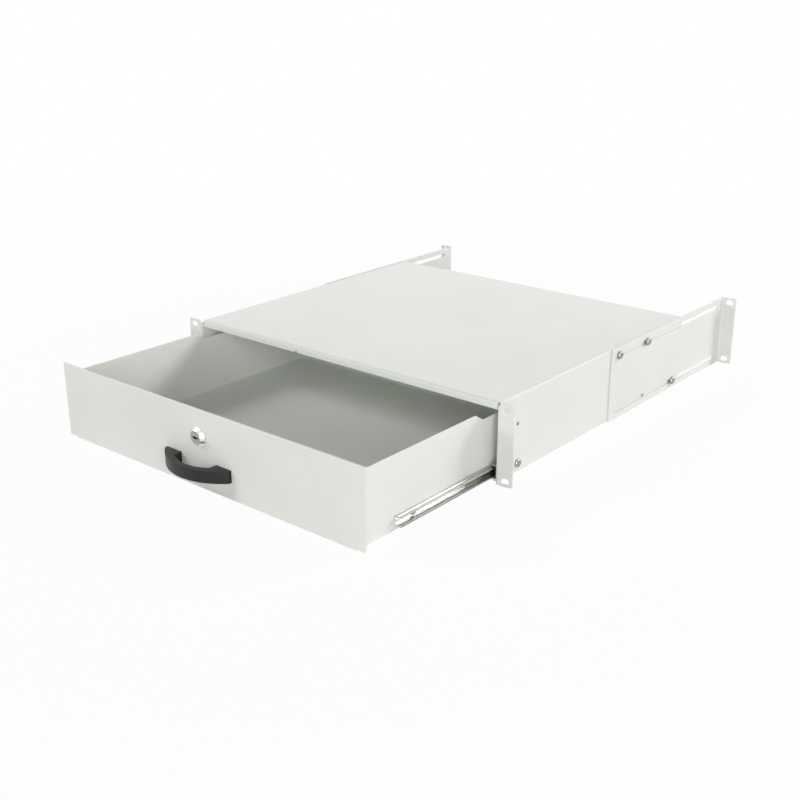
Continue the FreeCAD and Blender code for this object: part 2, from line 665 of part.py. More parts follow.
def races(name, sign, radius, start, long):
    """Two cylinders along the upper and lower ball rows."""
    across = f"{sign} * ({SIDE_IN} - race_from_wall)"
    return [rod(f"{name}_{row}", "y", radius, across, start, f"{SLIDE_UP} + {turn} * race_up", long)
            for row, turn in (("low", -1), ("high", 1))]


def slide_outer(side, sign):
    """Rolled channel on the housing, with a ball race in each flange."""
    name = f"Outer_{side}"
    reach = ("outer_start", "outer_start + outer_long")
    outside = join(f"{name}_outside", [
        box(f"{name}_block", from_wall(sign, "0", "outer_reach"), reach,
            band("outer_half + member_sheet")),
        *races(f"{name}_bulge", sign, f"{RACE} + member_sheet", "outer_start", "outer_long")])
    through = ("outer_start - 1", "outer_start + outer_long + 1")
    holes = [rod(f"{name}_hole_{number}", "x", radius, f"{sign} * {SIDE_IN} - member_sheet - 1",
                 back, SLIDE_UP, "2 * member_sheet + 2")
             for number, (back, radius) in enumerate([
                 (SCREW_FRONT, "screw_radius + thread_play"),
                 (SCREW_REAR, "small_radius + thread_play")], start=1)]
    inside = join(f"{name}_inside", [
        box(f"{name}_room", from_wall(sign, "member_sheet", "outer_reach + 1"), through,
            band("outer_half")),
        *races(f"{name}_race", sign, RACE, "outer_start - 1", "outer_long + 2"), *holes])
    return keep(f"slide_outer_{side}", less(f"{name}_member", outside, inside))


def slide_inner(side, sign):
    """Rolled rail on the tray, with a groove for the balls along each flange."""
    name = f"Inner_{side}"
    reach = (RAIL_FRONT, f"{RAIL_FRONT} + {RAIL_LONG}")
    through = (f"{RAIL_FRONT} - 1", f"{RAIL_FRONT} + {RAIL_LONG} + 1")
    block = from_wall(sign, "inner_tip", "slide_gap")
    channel = less(f"{name}_channel", box(f"{name}_block", block, reach, band("inner_half")),
                   box(f"{name}_room", from_wall(sign, "inner_tip - 1", "slide_gap - member_sheet"),
                       through, band("inner_half - member_sheet")))
    bulges = overlap(f"{name}_bulges", join(f"{name}_bars", races(
        f"{name}_bulge", sign, f"{RACE} + member_sheet", RAIL_FRONT, RAIL_LONG)),
        box(f"{name}_limit", block, reach, band("inner_half")))
    grooves = races(f"{name}_groove", sign, RACE, f"{RAIL_FRONT} - 1", f"{RAIL_LONG} + 2")
    holes = [rod(f"{name}_hole_{number}", "x", "small_radius + thread_play",
                 f"{sign} * {TRAY_SIDE} - member_sheet - 1", rail_screw(number), SLIDE_UP,
                 "2 * member_sheet + 2") for number in range(RAIL_SCREWS)]
    rail = less(f"{name}_rail", join(f"{name}_solid", [channel, bulges]),
                join(f"{name}_cuts", grooves + holes))
    return keep(f"slide_inner_{side}", rail)


def rail_screw(number):
    share = f"{number} / {RAIL_SCREWS - 1}"
    return f"{RAIL_FRONT} + rail_screw_inset + {share} * ({RAIL_LONG} - 2 * rail_screw_inset)"


def ball_spots():
    """Places of the balls along the cage, centred in its length."""
    first = f"{CAGE_FRONT} + (cage_long - {BALLS_IN_ROW - 1} * ball_pitch) / 2"
    return [f"{first} + {number} * ball_pitch" for number in range(BALLS_IN_ROW)]


def ball_cage(side, sign):
    """Thin channel that keeps the balls apart between the two members."""
    name = f"Cage_{side}"
    reach = (CAGE_FRONT, f"{CAGE_FRONT} + cage_long")
    through = (f"{CAGE_FRONT} - 1", f"{CAGE_FRONT} + cage_long + 1")
    strip = less(f"{name}_strip",
                 box(f"{name}_block", from_wall(sign, "cage_from_wall", "cage_reach"), reach,
                     band("race_up + cage_sheet / 2")),
                 box(f"{name}_room", from_wall(sign, "cage_from_wall + cage_sheet", "cage_reach + 1"),
                     through, band("race_up - cage_sheet / 2")))
    across = f"{sign} * ({SIDE_IN} - race_from_wall)"
    pockets = [rod(f"{name}_pocket_{number}", "z", "ball_radius + race_clearance", across, back,
                   f"{SLIDE_UP} - race_up - 2", "2 * race_up + 4")
               for number, back in enumerate(ball_spots())]
    return keep(f"ball_cage_{side}", less(f"{name}_holes", strip, join(f"{name}_drill", pockets)))


def slide_balls(side, sign):
    balls = []
    for number, back in enumerate(ball_spots()):
        for row, turn in (("low", -1), ("high", 1)):
            ball = doc.addObject("Part::Sphere", f"Ball_{side}_{row}_{number}")
            bind(ball, "Radius", "ball_radius")
            bind(ball, "Placement.Base.x", f"{sign} * ({SIDE_IN} - race_from_wall)")
            bind(ball, "Placement.Base.y", back)
            bind(ball, "Placement.Base.z", f"{SLIDE_UP} + {turn} * race_up")
            balls.append(ball)
    group = doc.addObject("Part::Compound", f"Balls_{side}")
    group.Links = balls
    return keep(f"slide_balls_{side}", group)


def slide_stop(side, sign):
    """Plastic stop pressed into the front end of the outer member, which ends the cage's run."""
    body = new_body(f"Stop_{side}")
    low, high = from_wall(sign, "member_sheet", "member_sheet + stop_thick")
    prism(body, f"StopBlock_{side}", "YZ_Plane",
          rectangle("outer_start", "outer_start + stop_long", *band("stop_half")), low, high)
    soften(body, f"StopCorners_{side}", "Fillet", "stop_thick", [
        ("x", {"y": "outer_start + stop_long", "z": band("stop_half")[0]}),
        ("x", {"y": "outer_start + stop_long", "z": band("stop_half")[1]})])
    return keep(f"slide_stop_{side}", body)


# ---------------------------------------------------------------- drawer

def drawer_tray():
    """One folded sheet: bottom, sides, back and the front with its closed hem."""
    body = new_body("DrawerTray")
    inside = f"({TRAY_SIDE} - tray_sheet)"
    floor_top = f"({TRAY_LOW} + tray_sheet)"
    bend_out = "(tray_bend + tray_sheet)"
    front_fold = f"({PANEL_FRONT} + {bend_out})"
    rear_fold = f"({TRAY_REAR} - {bend_out})"
    fold_top = f"({TRAY_LOW} + {bend_out})"
    half = [(TRAY_SIDE, TRAY_LOW), (TRAY_SIDE, WALL_TOP), (inside, WALL_TOP), (inside, floor_top)]
    section = half + [(f"-{across}", up) for across, up in reversed(half)]
    prism(body, "TraySection", "XZ_Plane", section, front_fold, rear_fold)
    soften(body, "TrayOuterBends", "Fillet", bend_out,
           [("y", {"abs_x": TRAY_SIDE, "z": TRAY_LOW})])
    soften(body, "TrayInnerBends", "Fillet", "tray_bend",
           [("y", {"abs_x": inside, "z": floor_top})])

    fold_half = f"({TRAY_SIDE} - {bend_out})"
    leg_top = f"({fold_top} + tray_sheet)"
    for name, outer, inner, fold in (
            ("Front", PANEL_FRONT, PANEL_BACK, front_fold),
            ("Rear", TRAY_REAR, f"({TRAY_REAR} - tray_sheet)", rear_fold)):
        strip = [(outer, leg_top), (outer, TRAY_LOW), (fold, TRAY_LOW), (fold, floor_top),
                 (inner, floor_top), (inner, leg_top)]
        prism(body, f"{name}Fold", "YZ_Plane", strip, f"-{fold_half}", fold_half)
        soften(body, f"{name}FoldOutside", "Fillet", bend_out,
               [("x", {"y": outer, "z": TRAY_LOW})])
        soften(body, f"{name}FoldInside", "Fillet", "tray_bend",
               [("x", {"y": inner, "z": floor_top})])
    prism(body, "BackWall", "XZ_Plane", rectangle(f"-{fold_half}", fold_half, fold_top, BACK_TOP),
          f"{TRAY_REAR} - tray_sheet", TRAY_REAR)
    for side, sign in SIDES:
        wall = (f"{sign} * {inside}", f"{sign} * {TRAY_SIDE}")
        prism(body, f"WallFront_{side}", "XY_Plane", rectangle(*wall, PANEL_BACK, front_fold),
              fold_top, WALL_TOP)
        prism(body, f"WallEnd_{side}", "XY_Plane", rectangle(*wall, rear_fold, TRAY_REAR),
              fold_top, WALL_TOP)

    step = f"({PANEL_FRONT} + step_back)"
    above = f"({WALL_TOP} + 1)"
    rear = f"({TRAY_REAR} + 1)"
    wall_step = [(step, WALL_TOP), (f"{step} + step_long", BACK_TOP), (rear, BACK_TOP),
                 (rear, above), (step, above)]
    clear = f"({TRAY_SIDE} + 1)"
    window(body, "WallStep", "YZ_Plane", wall_step, f"-{clear}", clear)

    panel_half = f"({SIDE_IN} - panel_gap)"
    prism(body, "Panel", "XZ_Plane", rectangle(f"-{panel_half}", panel_half, fold_top, PANEL_TOP),
          PANEL_FRONT, PANEL_BACK)
    prism(body, "PanelHem", "XZ_Plane",
          rectangle(f"-{panel_half}", panel_half, f"{PANEL_TOP} - hem_reach", PANEL_TOP),
          PANEL_BACK, f"{PANEL_BACK} + tray_sheet")
    soften(body, "PanelHemRound", "Fillet", "tray_sheet * 0.95", [
        ("x", {"y": PANEL_FRONT, "z": PANEL_TOP}),
        ("x", {"y": f"{PANEL_BACK} + tray_sheet", "z": PANEL_TOP})])
    soften(body, "PanelCorners", "Fillet", "panel_corner",
           [("y", {"abs_x": panel_half, "z": fold_top})])

    fixings = sketch_on(body, "PanelHoles", "XZ_Plane", f"{PANEL_FRONT} - 1")
    circle(fixings, "0", "lock_up", "barrel_radius + hole_play")
    for sign in (-1, 1):
        circle(fixings, f"{sign} * handle_screws / 2", "-handle_drop", "screw_radius + hole_play")
    extrude(body, "Pocket", fixings, "XZ_Plane", f"{PANEL_FRONT} - 1", f"{PANEL_BACK} + 1")
    rails = sketch_on(body, "RailHoles", "YZ_Plane", f"-{clear}")
    for number in range(RAIL_SCREWS):
        circle(rails, rail_screw(number), SLIDE_UP, "small_radius + thread_play")
    extrude(body, "Pocket", rails, "YZ_Plane", f"-{clear}", clear)
    return keep("drawer_tray", body)


def handle():
    """Moulded bow handle: an arched bar that swells into two feet."""
    body = new_body("Handle")
    sketch = sketch_on(body, "HandlePlan", "XY_Plane", "-handle_drop - handle_high / 2")
    wide, foot = "(handle_long / 2)", "(handle_long / 2 - handle_foot)"
    knuckle = f"({PANEL_FRONT} - handle_side)"
    throat = f"({PANEL_FRONT} - handle_inner_side)"
    spots = [(f"-{wide}", PANEL_FRONT), (f"-{wide}", knuckle), (wide, knuckle),
             (wide, PANEL_FRONT), (foot, PANEL_FRONT), (foot, throat), (f"-{foot}", throat),
             (f"-{foot}", PANEL_FRONT)]
    points = [Vector(value(across), value(back), 0) for across, back in spots]
    outer_crown = Vector(0, value(f"{PANEL_FRONT} - handle_stand"), 0)
    inner_crown = Vector(0, value(f"{PANEL_FRONT} - handle_stand + handle_grip"), 0)
    for place, point in enumerate(points):
        following = points[(place + 1) % len(points)]
        if place == 1:
            edge = Part.Arc(point, outer_crown, following)
        elif place == 5:
            edge = Part.Arc(following, inner_crown, point)
        else:
            edge = Part.LineSegment(point, following)
        sketch.addGeometry(edge, False)
    meetings = [(0, 2, 1, 1), (1, 2, 2, 1), (2, 2, 3, 1), (3, 2, 4, 1), (4, 2, 5, 2),
                (5, 1, 6, 1), (6, 2, 7, 1), (7, 2, 0, 1)]
    for meeting in meetings:
        sketch.addConstraint(Sketcher.Constraint("Coincident", *meeting))
    for place in (0, 2, 4, 6):
        tie(sketch, place, 1, *spots[place])
        tie(sketch, place, 2, *spots[place + 1])
    arches = [(1, "handle_long", "(handle_stand - handle_side)"),
              (5, "(handle_long - 2 * handle_foot)",
               "(handle_stand - handle_grip - handle_inner_side)")]
    for place, chord, rise in arches:
        radius = f"(({chord}) ^ 2 / 4 + {rise} ^ 2) / (2 * {rise})"
        size = sketch.addConstraint(Sketcher.Constraint("Radius", place, value(radius)))
        bind(sketch, f"Constraints[{size}]", radius)
    extrude(body, "Pad", sketch, "XY_Plane", "0", "handle_high")
    solid = body.Tip
    seat, middle = value(PANEL_FRONT), value("-handle_drop")
    names = []
    for number, edge in enumerate(solid.Shape.Edges, start=1):
        on_seat = all(abs(vertex.Point.y - seat) < 1e-4 for vertex in edge.Vertexes)
        level = abs(edge.CenterOfMass.z - middle) > 1
        free = all(abs(vertex.Point.y - seat) > 1e-4 for vertex in edge.Vertexes)
        if free or (level and not on_seat):
            names.append(f"Edge{number}")
    rounding = body.newObject("PartDesign::Fillet", "HandleRounding")
    rounding.Base = (solid, names)
    bind(rounding, "Radius", "handle_round")
    body.Tip = rounding
    doc.recompute()
    pockets = sketch_on(body, "InsertPockets", "XZ_Plane", f"{PANEL_FRONT} - insert_long")
    for sign in (-1, 1):
        circle(pockets, f"{sign} * handle_screws / 2", "-handle_drop", "insert_radius")
    extrude(body, "Pocket", pockets, "XZ_Plane", f"{PANEL_FRONT} - insert_long",
            f"{PANEL_FRONT} + 1")
    return keep("handle", body)


def handle_inserts():
    """Brass bushes moulded into the feet, threaded for the handle's screws."""
    bush = turned("HandleInsert", [
        ("0", "screw_radius + thread_play"), ("0", "insert_radius"),
        ("-insert_long", "insert_radius"), ("-insert_long", "screw_radius + thread_play")])
    spots = [(f"{sign} * handle_screws / 2", PANEL_FRONT, "-handle_drop") for sign in (-1, 1)]
    return copies("handle_inserts", bush, spots, (0, 1, 0))


# ---------------------------------------------------------------- lock

def lock_housing():
    """Bezel and threaded barrel of the cam lock, turned in one piece."""
    body = new_body("LockHousing")
    sketch = sketch_on(body, "LockProfile", "YZ_Plane", "0", "lock_up")
    face = f"({PANEL_FRONT} - bezel_stand)"
    bore, seat = "plug_radius + running_play", "plug_face + running_play"
    polygon(sketch, [
        (face, seat), (face, "bezel_face"), (f"{PANEL_FRONT} - 1", "bezel_base"),
        (PANEL_FRONT, "bezel_base"), (PANEL_FRONT, "barrel_radius"),
        (BARREL_END, "barrel_radius"), (BARREL_END, bore),
        (f"{face} + plug_face_thick", bore), (f"{face} + plug_face_thick", seat)])
    spin(body, "Revolution", sketch)
    flats = sketch_on(body, "BarrelFlats", "XZ_Plane", f"{PANEL_BACK}")
    for sign in (-1, 1):
        polygon(flats, rectangle(f"{sign} * barrel_flat", f"{sign} * (barrel_radius + 1)",
                                 "lock_up - barrel_radius - 1", "lock_up + barrel_radius + 1"))
    extrude(body, "Pocket", flats, "XZ_Plane", PANEL_BACK, f"{BARREL_END} + 1")
    return keep("lock_housing", body)


def lock_nut():
    """Hexagon nut that draws the barrel against the drawer front."""
    body = new_body("LockNut")
    sketch = sketch_on(body, "NutPlan", "XZ_Plane", PANEL_BACK)
    corners = []
    for number in range(6):
        angle = f"{60 * number}deg"
        reach = "lock_nut_flats / (2 * cos(30deg))"
        corners.append((f"{reach} * cos({angle})", f"lock_up + {reach} * sin({angle})"))
    polygon(sketch, corners)
    circle(sketch, "0", "lock_up", "barrel_radius + thread_play")
    extrude(body, "Pad", sketch, "XZ_Plane", PANEL_BACK, f"{PANEL_BACK} + lock_nut_thick")
    return keep("lock_nut", body)


def lock_plug():
    """Turning plug with its keyway, and the tail that carries the cam."""
    body = new_body("LockPlug")
    sketch = sketch_on(body, "PlugProfile", "YZ_Plane", "0", "lock_up")
    face = f"({PANEL_FRONT} - bezel_stand)"
    tail_end = f"({CAM_FRONT} + cam_sheet)"
    shoulder = f"{face} + plug_face_thick - running_play"
    polygon(sketch, [
        (face, "0"), (face, "plug_face"), (shoulder, "plug_face"), (shoulder, "plug_radius"),
        (CAM_FRONT, "plug_radius"), (CAM_FRONT, "tail_radius"), (tail_end, "tail_radius"),
        (tail_end, "small_radius + thread_play"),
        (f"{tail_end} - 6", "small_radius + thread_play"), (f"{tail_end} - 6", "0")])
    spin(body, "Revolution", sketch)
    keyway = rectangle("-keyway_long / 2", "keyway_long / 2", "lock_up - keyway_wide / 2",
                       "lock_up + keyway_wide / 2")
    window(body, "Keyway", "XZ_Plane", keyway, f"{face} - 1", f"{face} + keyway_deep")
    return keep("lock_plug", body)


def lock_cam():
    """Cranked cam: it lies level when unlocked and stands behind the housing's lip when locked."""
    body = new_body("LockCam")
    front, back = CAM_FRONT, f"({CAM_FRONT} + cam_sheet)"
    bend, knee = "-cam_hub - 1", "-cam_hub - 1 - cam_crank_long"
    plan = [("cam_hub", front), ("cam_hub", back), (bend, back),
            (knee, f"{back} - cam_crank"), ("-cam_long", f"{back} - cam_crank"),
            ("-cam_long", f"{front} - cam_crank"), (knee, f"{front} - cam_crank"), (bend, front)]
    prism(body, "CamPlan", "XY_Plane", plan, "lock_up - cam_wide / 2", "lock_up + cam_wide / 2")
    soften(body, "CamTip", "Fillet", "cam_corner", [
        ("y", {"x": "-cam_long", "z": "lock_up - cam_wide / 2"}),
        ("y", {"x": "-cam_long", "z": "lock_up + cam_wide / 2"})])
    soften(body, "CamHub", "Fillet", "cam_wide / 2 - 0.5", [
        ("y", {"x": "cam_hub", "z": "lock_up - cam_wide / 2"}),
        ("y", {"x": "cam_hub", "z": "lock_up + cam_wide / 2"})])
    sketch = sketch_on(body, "CamEye", "XZ_Plane", f"{front} - 1")
    circle(sketch, "0", "lock_up", "tail_radius + thread_play")
    extrude(body, "Pocket", sketch, "XZ_Plane", f"{front} - 1", f"{back} + 1")
    return keep("lock_cam", body)


# ---------------------------------------------------------------- assembly

def place_fasteners(designs):
    """Puts each group of fasteners in the holes that it holds."""
    for side, sign in SIDES:
        out, inward = (sign, 0, 0), (-sign, 0, 0)
        seat = f"{sign} * ({BRACKET_OUT} + washer_thick)"
        spots = bracket_screw_spots()
        copies(f"bracket_screws_{side}", designs["bracket"],
               [(seat, back, up) for back, up in spots], out)
        copies(f"bracket_washers_{side}", designs["washer"],
               [(f"{sign} * {BRACKET_OUT}", back, up) for back, up in spots], out)
        copies(f"clinch_nuts_{side}", designs["nut"],
               [(f"{sign} * {SIDE_IN}", back, up) for back, up in spots], out)
        copies(f"rail_screws_{side}", designs["rail"],
               [(f"{sign} * ({TRAY_SIDE} + member_sheet)", rail_screw(number), SLIDE_UP)
                for number in range(RAIL_SCREWS)], out)
    sides = [(sign, 0, 0) for _, sign in SIDES]
    copies("slide_pan_screws", designs["slide"],
           [(f"{sign} * {SIDE_OUT}", SCREW_FRONT, SLIDE_UP) for _, sign in SIDES], sides)
    copies("slide_flush_screws", designs["flush"],
           [(f"{sign} * {SIDE_OUT}", SCREW_REAR, SLIDE_UP) for _, sign in SIDES], sides)
    copies("handle_screws", designs["handle"],
           [(f"{sign} * handle_screws / 2", PANEL_BACK, "-handle_drop") for sign in (-1, 1)],
           (0, 1, 0))
    copies("cam_screw", designs["cam"], [("0", f"{CAM_FRONT} + cam_sheet", "lock_up")], (0, 1, 0))


def build():
    designs = fasteners()
    housing_shell()
    for side, sign in SIDES:
        rear_bracket(side, sign)
        slide_outer(side, sign)
        slide_stop(side, sign)
        ball_cage(side, sign)
        slide_balls(side, sign)
        slide_inner(side, sign)
    drawer_tray()
    handle()
    handle_inserts()
    lock_housing()
    lock_nut()
    lock_plug()
    lock_cam()
    place_fasteners(designs)
    doc.recompute()


def check():
    """Stops if any object failed or any sub-part is empty or invalid."""
    for item in doc.Objects:
        if "Invalid" in item.State or "Error" in item.State:
            raise RuntimeError(f"{item.Name} failed: {item.State}")
    for label, item in nodes.items():
        if item.Shape.isNull() or not item.Shape.Solids or not item.Shape.isValid():
            raise RuntimeError(f"{label} has no valid shape")


def export():
    os.makedirs("parts", exist_ok=True)
    for label, item in nodes.items():
        item.Shape.exportStep(f"parts/{label}.step")
        size = item.Shape.BoundBox
        print(f"{label}: {len(item.Shape.Solids)} solid(s), {item.Shape.Volume:.0f} mm3, "
              f"{size.XLength:.1f} x {size.YLength:.1f} x {size.ZLength:.1f} mm")


build()
check()
export()
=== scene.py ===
"""Sliding rack drawer: finishes, small dressed pieces, light and camera on the packed frame."""
import json
from math import radians

import bmesh
import bpy
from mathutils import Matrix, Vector


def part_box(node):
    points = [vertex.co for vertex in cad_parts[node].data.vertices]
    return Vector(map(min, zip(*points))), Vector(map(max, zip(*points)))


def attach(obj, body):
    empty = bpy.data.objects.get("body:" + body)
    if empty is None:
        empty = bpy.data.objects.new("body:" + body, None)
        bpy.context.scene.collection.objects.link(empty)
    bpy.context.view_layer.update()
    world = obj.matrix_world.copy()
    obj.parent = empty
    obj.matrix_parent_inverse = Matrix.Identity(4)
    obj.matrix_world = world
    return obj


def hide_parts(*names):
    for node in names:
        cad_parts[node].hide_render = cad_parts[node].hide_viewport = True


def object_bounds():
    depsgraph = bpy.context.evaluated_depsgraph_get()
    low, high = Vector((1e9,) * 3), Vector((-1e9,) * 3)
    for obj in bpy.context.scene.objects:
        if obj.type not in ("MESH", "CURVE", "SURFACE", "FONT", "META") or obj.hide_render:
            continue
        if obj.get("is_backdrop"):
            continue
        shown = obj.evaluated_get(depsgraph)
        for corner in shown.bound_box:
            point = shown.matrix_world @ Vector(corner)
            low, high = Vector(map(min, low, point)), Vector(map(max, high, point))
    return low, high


bl_info = {
    "name": "Sliding rack drawer",
    "version": (1, 0, 0),
    "blender": (4, 5, 0),
    "location": "3D View > Sidebar > Rack drawer",
    "description": "Finishes, dressed pieces, light and camera for a sliding rack drawer",
    "category": "Object",
}

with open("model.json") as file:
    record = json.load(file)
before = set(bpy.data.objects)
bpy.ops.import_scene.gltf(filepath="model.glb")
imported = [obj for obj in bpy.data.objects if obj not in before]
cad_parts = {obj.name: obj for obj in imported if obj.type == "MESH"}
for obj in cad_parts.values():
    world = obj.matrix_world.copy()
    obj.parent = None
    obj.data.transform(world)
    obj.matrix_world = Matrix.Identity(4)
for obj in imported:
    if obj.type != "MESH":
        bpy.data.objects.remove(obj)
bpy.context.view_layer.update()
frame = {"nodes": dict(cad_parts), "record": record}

MERGE = 1e-6    # points nearer than this are one
COATED = ("housing_shell", "drawer_tray", "rear_bracket_left", "rear_bracket_right")


def srgb(code):
    """Linear red, green, blue and alpha of an sRGB hex colour."""
    parts = [int(code[i:i + 2], 16) / 255 for i in (1, 3, 5)]
    return [c / 12.92 if c <= 0.04045 else ((c + 0.055) / 1.055) ** 2.4 for c in parts] + [1.0]


def colour(name, description, code):
    """A colour that the user may change."""
    return bpy.props.FloatVectorProperty(name=name, description=description, subtype="COLOR",
                                         size=4, min=0.0, max=1.0, default=srgb(code))


def length(name, description, default):
    """A length that the user may change, in metres."""
    return bpy.props.FloatProperty(name=name, description=description, default=default,
                                   unit="LENGTH", precision=5)


def watts(name, description, default):
    """A lamp's power that the user may change, in watts."""
    return bpy.props.FloatProperty(name=name, description=description, default=default,
                                   unit="POWER")


class RACKDRAWER_PG_finishes(bpy.types.PropertyGroup):
    """Colours and grain sizes of the finishes."""
    coat: colour("Powder coat", "Light grey of the sheet steel", "#E8EAE5")
    coat_deep: colour("Powder coat, thin", "Light grey where the coat lies thinner", "#E4E7E1")
    handle: colour("Handle", "Black of the moulded handle", "#141413")
    plastic: colour("Stops and cages", "Black of the slides' plastic pieces", "#1E1E1D")
    zinc: colour("Zinc plate", "Bright zinc of the slides", "#DADAD6")
    chrome: colour("Chrome", "Chrome of the lock's bezel", "#E8E8E6")
    orange_peel: length("Orange peel", "Width of the ripples in the powder coat", 0.0016)


class RACKDRAWER_PG_screws(bpy.types.PropertyGroup):
    """Sizes of the pan-head screws."""
    head: length("Head", "Radius of the head", 0.00475)
    head_high: length("Head height", "Height of the head", 0.0030)
    shank: length("Shank", "Radius of the shank", 0.0025)
    painted_end: length("Painted end", "Radius of the coat over a screw's end", 0.0031)
    painted_high: length("Painted end height", "Thickness of that coat", 0.0005)
    painted_sunk: length("Painted end sunk", "How far it reaches past the screw's end", 0.0002)


class RACKDRAWER_PG_handle(bpy.types.PropertyGroup):
    """Sizes of the bow handle."""
    long: length("Length", "Length over the feet", 0.0954)
    foot: length("Foot", "Width of a foot", 0.0215)
    grip: length("Grip", "Thickness of the bar", 0.0065)
    side: length("Side", "Straight part of the ends", 0.0035)
    inner_side: length("Inner side", "Straight part of the opening's ends", 0.009)
    shift: length("Shift", "Handle's middle off the lock's", -0.0020)
    corner: length("Corner", "Rounding of the outer corners", 0.0040)
    insert: length("Insert", "How deep the inserts sit", 0.0080)
    edge: length("Edge", "Rounding of the rims", 0.0018)


class RACKDRAWER_PG_lock(bpy.types.PropertyGroup):
    """Sizes of the lock's bezel and keyway."""
    stand: length("Stand", "Bezel out from the front", 0.0046)
    base: length("Base", "Straight rim at the bezel's foot", 0.0010)
    taper: length("Taper", "Bezel's radius at the foot less that at the face", 0.0032)
    seat: length("Seat", "Radius of the opening for the plug", 0.00655)
    edge: length("Edge", "Rounding of the bezel's edges", 0.00035)
    keyway_long: length("Keyway length", "Length of the keyway", 0.0080)
    keyway_wide: length("Keyway width", "Width of the keyway", 0.0017)
    core: length("Core", "Radius of the keyway's round middle", 0.0018)


class RACKDRAWER_PG_studio(bpy.types.PropertyGroup):
    """Lamps, floor and camera."""
    key_power: watts("Key lamp", "Power of the large lamp at the front right", 50.0)
    back_power: watts("Back lamp", "Power of the lamp behind", 25.0)
    edge_power: watts("Edge lamp", "Power of the lamp that draws the folds", 52.0)
    fill_power: watts("Fill lamp", "Power of the lamp at the front left", 34.0)
    ambient: bpy.props.FloatProperty(name="Ambient", description="Strength of the light all round",
                                     default=0.09, min=0.0, max=1.0, subtype="FACTOR")
    floor_size: length("Floor", "Side of the floor", 60.0)
    azimuth: bpy.props.FloatProperty(name="Azimuth", description="Camera's turn round the drawer",
                                     default=radians(39.754), subtype="ANGLE")
    tilt: bpy.props.FloatProperty(name="Tilt", description="How far the camera looks down",
                                  default=radians(20.779), subtype="ANGLE")
    camera: bpy.props.FloatVectorProperty(name="Camera", description="Where the camera stands",
                                          size=3, subtype="TRANSLATION", unit="LENGTH",
                                          precision=5, default=(0.8312, -0.8867, 0.45375))
    lens: bpy.props.FloatProperty(name="Lens", description="Focal length in millimetres",
                                  default=52.056, unit="CAMERA")


# ---------------------------------------------------------------- materials

def new_material(name):
    """An empty material and its node tree."""
    made = bpy.data.materials.new(name)
    made.use_nodes = True
    made.node_tree.nodes.clear()
    return made, made.node_tree


def add(tree, kind, settings, links=()):
    """Adds a shader node, sets its values and links other nodes' sockets to its inputs."""
    made = tree.nodes.new(kind)
    for key, value in settings.items():
        if isinstance(key, int) or key in made.inputs:
            made.inputs[key].default_value = value
        else:
            setattr(made, key, value)
    for key, socket in dict(links).items():
        tree.links.new(socket, made.inputs[key])
    return made


def ramp(tree, factor, low, high, start=0.0, end=1.0):
    """A colour ramp between two colours."""
    made = add(tree, "ShaderNodeValToRGB", {}, {"Fac": factor})
    made.color_ramp.elements[0].color = low
    made.color_ramp.elements[0].position = start
    made.color_ramp.elements[1].color = high
    made.color_ramp.elements[1].position = end
    return made.outputs["Color"]


def surface(tree, settings, links):
    """The principled shader and the output that end a tree."""
    shader = add(tree, "ShaderNodeBsdfPrincipled", settings, links)
    add(tree, "ShaderNodeOutputMaterial", {}, {"Surface": shader.outputs["BSDF"]})


def grain(tree, size, stretch=(1.0, 1.0, 1.0), detail=2.0):
    """Noise whose features are about this many metres wide, on the object's coordinates."""
    place = add(tree, "ShaderNodeTexCoord", {})
    turn = add(tree, "ShaderNodeMapping", {"Scale": stretch}, {"Vector": place.outputs["Object"]})
    noise = add(tree, "ShaderNodeTexNoise", {"Scale": 1.0 / size, "Detail": detail},
                {"Vector": turn.outputs["Vector"]})
    return noise.outputs["Fac"]


def spread(tree, factor, low, high):
    """Maps a pattern onto a range of values."""
    made = add(tree, "ShaderNodeMapRange", {"From Min": 0.3, "From Max": 0.7, "To Min": low,
                                            "To Max": high}, {"Value": factor})
    return made.outputs["Result"]


def bump(tree, height, depth):
    """A bump whose full height is this many metres."""
    made = add(tree, "ShaderNodeBump", {"Distance": depth, "Strength": 1.0}, {"Height": height})
    return made.outputs["Normal"]


def powder_coat(finish):
    """Polyester powder coat, sprayed and stoved: an even half-matt grey with faint orange peel."""
    made, tree = new_material("powder_coat_light_grey")
    tone = ramp(tree, grain(tree, 0.11), finish.coat_deep, finish.coat, 0.35, 0.65)
    surface(tree, {"IOR": 1.5, "Specular IOR Level": 0.5},
            {"Base Color": tone,
             "Roughness": spread(tree, grain(tree, 0.006), 0.42, 0.5),
             "Normal": bump(tree, grain(tree, finish.orange_peel), 0.00004)})
    return made


def zinc_plate(finish):
    """Cold-rolled steel with bright zinc: a mirror softened by fine streaks along the roll.

    The streaks are drawn some five times as wide as they are, so that they show.
    """
    made, tree = new_material("zinc_plated_steel")
    streaks = grain(tree, 0.0005, (1.0, 0.02, 1.0), 3.0)
    tone = ramp(tree, grain(tree, 0.02, (1.0, 0.15, 1.0)), srgb("#BABAB6"), finish.zinc, 0.3, 0.7)
    surface(tree, {"Metallic": 1.0},
            {"Base Color": tone, "Roughness": spread(tree, streaks, 0.24, 0.38),
             "Normal": bump(tree, streaks, 0.00001)})
    return made


def turned_steel():
    """Zinc-plated screw steel, cold-headed: bright, with a slight grain from the die."""
    made, tree = new_material("zinc_plated_screw_steel")
    pits = grain(tree, 0.0007)
    tone = ramp(tree, pits, srgb("#94948F"), srgb("#B8B8B3"), 0.3, 0.7)
    surface(tree, {"Metallic": 1.0},
            {"Base Color": tone, "Roughness": spread(tree, pits, 0.22, 0.36),
             "Normal": bump(tree, pits, 0.00001)})
    return made


